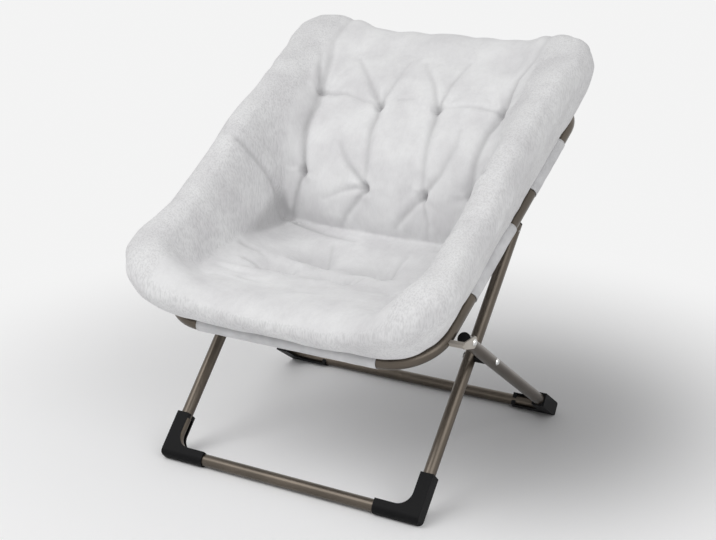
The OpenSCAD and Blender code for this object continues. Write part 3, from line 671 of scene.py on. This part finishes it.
class SAUCER_OT_cushion(bpy.types.Operator):
    """Makes the sewn fur cushion: seat, back, wings and rolls under one cover"""
    bl_idname = "saucer.cushion"
    bl_label = "Fur cushion"

    def sew_face(self, sew, x, run, shape, face):
        """Sewn points and folds of the seat and the back."""
        for k, (across, along, strength) in enumerate(TUFTS):
            sew.tuft(x - across, run - along, shape, 40 + k, face * strength)
        for depth, width, places in FOLDS:
            sew.fold(x, run, places, depth * shape.fold_depth, width, face)
        for across, along, radius in HOLLOWS:
            far = np.hypot(x - across, run - along)
            sew.dent(far, HOLLOW_DEPTH, radius, HOLLOW_SHADE, face)
            lip = np.hypot((x - across) * 0.6, run - along + radius * 1.3)
            sew.lift += HOLLOW_LIP * bump(lip, radius * 0.8) * face
        # Pleats that fan from the upper row out to the top edge.
        for k, (across, along, _) in enumerate(TUFTS[5:9]):
            up = run - along
            turn = np.arctan2(x - across, np.maximum(up, 0.001) + 0.02)
            fan = ease(up / 0.03) * bump(x - across, 0.06) * np.cos(turn * 12 + k * 1.7)
            sew.lift += 0.0022 * fan * face

    def sew_sides(self, sew, x, s, h, run, shape):
        """The seams where the wings meet the seat, and the one that slants over each wing."""
        low = ease((0.02 - h) / 0.05) * ease((0.44 - s) / 0.03)
        edge = np.abs(np.abs(x) - PAD_HALF_W)
        # The seam between each wing and the seat, with painted shade in it.
        sew.dent(edge, 0.009, 0.008, 0.6, low * ease((run - 0.04) / 0.05))
        wing = ease((0.3 - np.abs(x)) / 0.02) * ease((np.abs(x) - 0.22) / 0.015)
        sew.fold(s, h, WING_FOLD, 0.006 * shape.fold_depth, 0.0065, wing, 0.2)

    def lean_corners(self, ring):
        """The left corners of the cushion stand a little further out than the right ones."""
        x, s, h = ring.T
        top = ease((-x - 0.17) / 0.12) * ease((s - 0.6) / 0.16) * ease((h - 0.02) / 0.1)
        low = ease((-x - 0.19) / 0.1) * ease((0.2 - s) / 0.14)
        return ring + top[:, None] * np.array(TOP_LEAN) + low[:, None] * np.array(LOW_LEAN)

    def execute(self, context):
        shape = context.scene.saucer_shape
        cushion = one_skin("fur_cushion", PADS, shape.puff, shape.voxel, shape.soften)
        co, no = read_mesh(cushion.data)
        ring, tip = to_ring(co), to_ring(no + co) - to_ring(co)
        run, over, way = on_profile(ring)
        facing = ease((tip[:, 1] * way[:, 0] + tip[:, 2] * way[:, 1] - 0.05) / 0.4)
        inner = ease((PAD_HALF_W + 0.012 - np.abs(ring[:, 0])) / 0.02)
        face = facing * inner * ease((0.09 - np.abs(over)) / 0.02)
        flat = face * ease((np.abs(run - BACK_RUN) - 0.03) / 0.04)
        co = even_out(cushion.data, co, flat * 0.5, shape.even)
        co = from_ring(self.lean_corners(to_ring(co)))
        write_mesh(cushion.data, co)
        co, no = read_mesh(cushion.data)
        ring = to_ring(co)
        x, s, h = ring.T
        sew = Sewing(len(co))
        self.sew_face(sew, x, run, shape, face)
        self.sew_sides(sew, x, s, h, run, shape)
        # The cover's hem, along the front sleeve, with painted shade along it.
        hem = bump(h - 0.0155, 0.0045) * ease((0.02 - s) / 0.02)
        sew.lift -= 0.003 * hem
        sew.groove = np.maximum(sew.groove, 0.9 * hem)
        # Loose folds: long ones across the seat's front, small uneven ones elsewhere.
        upper = ease((h + 0.02) / 0.05)
        front = bump(s - 0.12, 0.07) * ease((-0.05 - x) / 0.1) * ease((0.34 - np.abs(x)) / 0.05)
        drawn = np.stack([x * 0.35, run * 2.4 + h, 0 * run], axis=1)
        sew.lift += shape.slack * 0.9 * ripple(drawn, 0.045, 7) * front
        sew.lift += shape.slack * 0.8 * ripple(ring, 0.15, 8) * upper
        sew.lift += shape.slack * 0.3 * ripple(ring, 0.04, 9) * upper
        every = np.full(len(co), 0.5)
        write_mesh(cushion.data, even_out(cushion.data, co + no * sew.lift[:, None], every, 3))
        # The painted shade of seams, hollows and the hem goes to the fur's material.
        mark(cushion.data, "groove", np.clip(sew.groove, 0, 1))
        mark(cushion.data, "shag", 1 - 0.85 * face)
        finish = context.scene.saucer_finish
        paint(cushion, fur_material(tuple(finish.fur), tuple(finish.fur_shade)))
        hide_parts(*PADS)
        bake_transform(cushion)
        return {"FINISHED"}


class SAUCER_OT_sleeves(bpy.types.Operator):
    """Makes the cloth sleeves that hold the cushion to the ring"""
    bl_idname = "saucer.sleeves"
    bl_label = "Cloth sleeves"

    def sleeve(self, name, start, end, mat, node, tubes):
        """One sleeve from start to end, faintly uneven, that stands for a node."""
        bm = bmesh.new()
        length = (end - start).length
        inner_r = TUBE_R + SLEEVE_GAP
        bmesh.ops.create_circle(bm, segments=40, radius=inner_r, cap_ends=False)
        steps = max(8, int(length / 0.006))
        edges = list(bm.edges)
        for _ in range(steps):
            made = bmesh.ops.extrude_edge_only(bm, edges=edges)["geom"]
            edges = [g for g in made if isinstance(g, bmesh.types.BMEdge)]
            verts = [g for g in made if isinstance(g, bmesh.types.BMVert)]
            bmesh.ops.translate(bm, verts=verts, vec=(0, 0, length / steps))
        turn = (end - start).to_track_quat("Z", "Y").to_matrix().to_4x4()
        bmesh.ops.transform(bm, matrix=turn, verts=bm.verts)
        bmesh.ops.translate(bm, verts=bm.verts, vec=start)
        bmesh.ops.recalc_face_normals(bm, faces=bm.faces)
        obj = scene_object(name, bm)
        co, no = read_mesh(obj.data)
        lift = 0.0002 + 0.0003 * (1 + ripple(co, 0.03, len(name)))
        write_mesh(obj.data, co + no * np.clip(lift, 0.00005, 0.0009)[:, None])
        shade_smooth(obj)
        paint(obj, mat)
        wall = obj.modifiers.new("wall", "SOLIDIFY")
        wall.thickness = SLEEVE_WALL
        wall.offset = 1.0
        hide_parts(node)
        return obj

    def execute(self, context):
        mat = sleeve_cloth()
        straight = RING_HALF_W - RING_BEND
        front = self.sleeve("front_cloth_sleeve", ring_point(-straight, 0, 0),
                            ring_point(straight, 0, 0), mat, "front_sleeve", ["front_ring_half"])
        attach(front, "front_ring")
        top = self.sleeve("top_cloth_sleeve", ring_point(-straight, RING_LEN, 0),
                          ring_point(straight, RING_LEN, 0), mat, "top_sleeve", ["rear_ring_half"])
        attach(top, "rear_ring")
        for side, sign in SIDES:
            x = sign * RING_HALF_W
            low = self.sleeve(f"side_cloth_sleeve_{side}",
                              *(ring_point(x, s, 0) for s in SIDE_SLEEVE), mat,
                              f"side_sleeve_{side}", ["front_ring_half", "rear_ring_half"])
            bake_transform(low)
            high = self.sleeve(f"upper_cloth_sleeve_{side}",
                               *(ring_point(x, s, 0) for s in UPPER_SLEEVE), mat,
                               f"upper_sleeve_{side}", ["rear_ring_half"])
            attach(high, "rear_ring")
        return {"FINISHED"}


class SAUCER_OT_stage(bpy.types.Operator):
    """Sets the floor, the light and the camera"""
    bl_idname = "saucer.stage"
    bl_label = "Stage"

    def spread(self, tree, coords, centre, near, far):
        """Runs smoothly from 0 near a place on the floor to 1 far from it."""
        away = tree.nodes.new("ShaderNodeVectorMath")
        away.operation = "DISTANCE"
        away.inputs[1].default_value = centre
        tree.links.new(coords.outputs["Object"], away.inputs[0])
        ease_out = tree.nodes.new("ShaderNodeMapRange")
        ease_out.interpolation_type = "SMOOTHSTEP"
        ease_out.inputs["From Min"].default_value = near
        ease_out.inputs["From Max"].default_value = far
        tree.links.new(away.outputs["Value"], ease_out.inputs["Value"])
        return ease_out.outputs["Result"]

    def seen(self, tree):
        """1 for what the camera or a reflection sees, 0 for light that only bounces."""
        path = tree.nodes.new("ShaderNodeLightPath")
        either = tree.nodes.new("ShaderNodeMath")
        either.operation = "MAXIMUM"
        tree.links.new(path.outputs["Is Camera Ray"], either.inputs[0])
        tree.links.new(path.outputs["Is Glossy Ray"], either.inputs[1])
        return either.outputs[0]

    def floor(self):
        bm = bmesh.new()
        bmesh.ops.create_grid(bm, x_segments=1, y_segments=1, size=14)
        obj = scene_object("studio_floor", bm)
        mat, tree, nodes, shader = new_material("studio floor")
        coords = nodes.new("ShaderNodeTexCoord")
        # A broad soft shade behind the chair on the right, and plain white far out.
        shade = self.spread(tree, coords, (0.28, 0.2, 0), 0.05, 0.68)
        tint = colour_ramp(tree, shade, ((0.0, (0.56, 0.56, 0.565)), (1.0, (0.96, 0.96, 0.965))))
        tree.links.new(tint, shader.inputs["Base Color"])
        shader.inputs["Roughness"].default_value = 0.65
        shader.inputs["Specular IOR Level"].default_value = 0.15
        white = nodes.new("ShaderNodeEmission")
        white.inputs["Strength"].default_value = BACKDROP
        far = nodes.new("ShaderNodeMath")
        far.operation = "MULTIPLY"
        tree.links.new(self.spread(tree, coords, (0, 0, 0), 0.5, 1.35), far.inputs[0])
        tree.links.new(self.seen(tree), far.inputs[1])
        blend = nodes.new("ShaderNodeMixShader")
        tree.links.new(far.outputs[0], blend.inputs["Fac"])
        tree.links.new(shader.outputs[0], blend.inputs[1])
        tree.links.new(white.outputs[0], blend.inputs[2])
        tree.links.new(blend.outputs[0], nodes["Material Output"].inputs["Surface"])
        paint(obj, mat)

    def world(self):
        world = bpy.data.worlds.new("studio")
        bpy.context.scene.world = world
        world.use_nodes = True
        tree = world.node_tree
        back = tree.nodes["Background"]
        back.inputs["Color"].default_value = (1, 1, 1, 1)
        level = tree.nodes.new("ShaderNodeMapRange")
        level.inputs["To Min"].default_value = SKY
        level.inputs["To Max"].default_value = BACKDROP
        tree.links.new(self.seen(tree), level.inputs["Value"])
        tree.links.new(level.outputs["Result"], back.inputs["Strength"])

    def lamp(self, name, size, power, place, aim):
        data = bpy.data.lights.new(name, "AREA")
        data.shape = "RECTANGLE"
        data.size, data.size_y = size
        data.energy = power
        obj = bpy.data.objects.new(name, data)
        obj.location = place
        obj.rotation_euler = (Vector(aim) - Vector(place)).to_track_quat("-Z", "Y").to_euler()
        bpy.context.scene.collection.objects.link(obj)

    def execute(self, context):
        scene = context.scene
        stage = scene.saucer_stage
        self.floor()
        self.world()
        self.lamp("key", (2.2, 2.2), 42, (-1.3, -1.9, 2.9), (0, 0, 0.4))
        self.lamp("fill", (2.5, 2.0), 28, (2.4, -1.6, 2.2), (0, 0, 0.4))
        cam = bpy.data.cameras.new("view")
        cam.sensor_width = 36
        cam.sensor_fit = "HORIZONTAL"
        cam.lens = stage.focal_px / FRAME_PX * cam.sensor_width
        cam.clip_end = 60
        eye = bpy.data.objects.new("view", cam)
        eye.location = stage.eye
        eye.rotation_euler = Euler((math.pi / 2 - stage.elevation, 0, stage.azimuth))
        scene.collection.objects.link(eye)
        scene.camera = eye
        scene.view_settings.view_transform = "Standard"
        return {"FINISHED"}


class SAUCER_PT_panel(bpy.types.Panel):
    """Lists the settings and steps"""
    bl_label = "Saucer Chair"
    bl_idname = "SAUCER_PT_panel"
    bl_space_type = "VIEW_3D"
    bl_region_type = "UI"
    bl_category = "Saucer Chair"

    def draw(self, context):
        for group in ("saucer_finish", "saucer_shape", "saucer_stage"):
            box = self.layout.box()
            settings = getattr(context.scene, group)
            for name in settings.__annotations__:
                box.prop(settings, name)
        for step in STEPS:
            self.layout.operator(step.bl_idname)


STEPS = (SAUCER_OT_paint_metal, SAUCER_OT_cushion, SAUCER_OT_sleeves, SAUCER_OT_stage)
CLASSES = (SaucerFinish, SaucerShape, SaucerStage, *STEPS, SAUCER_PT_panel)


def register():
    for item in CLASSES:
        bpy.utils.register_class(item)
    bpy.types.Scene.saucer_finish = bpy.props.PointerProperty(type=SaucerFinish)
    bpy.types.Scene.saucer_shape = bpy.props.PointerProperty(type=SaucerShape)
    bpy.types.Scene.saucer_stage = bpy.props.PointerProperty(type=SaucerStage)


def unregister():
    for name in ("saucer_finish", "saucer_shape", "saucer_stage"):
        delattr(bpy.types.Scene, name)
    for item in reversed(CLASSES):
        bpy.utils.unregister_class(item)


def main():
    register()
    bpy.ops.saucer.paint_metal()
    bpy.ops.saucer.cushion()
    bpy.ops.saucer.sleeves()
    bpy.ops.saucer.stage()


if __name__ == "__main__":
    main()
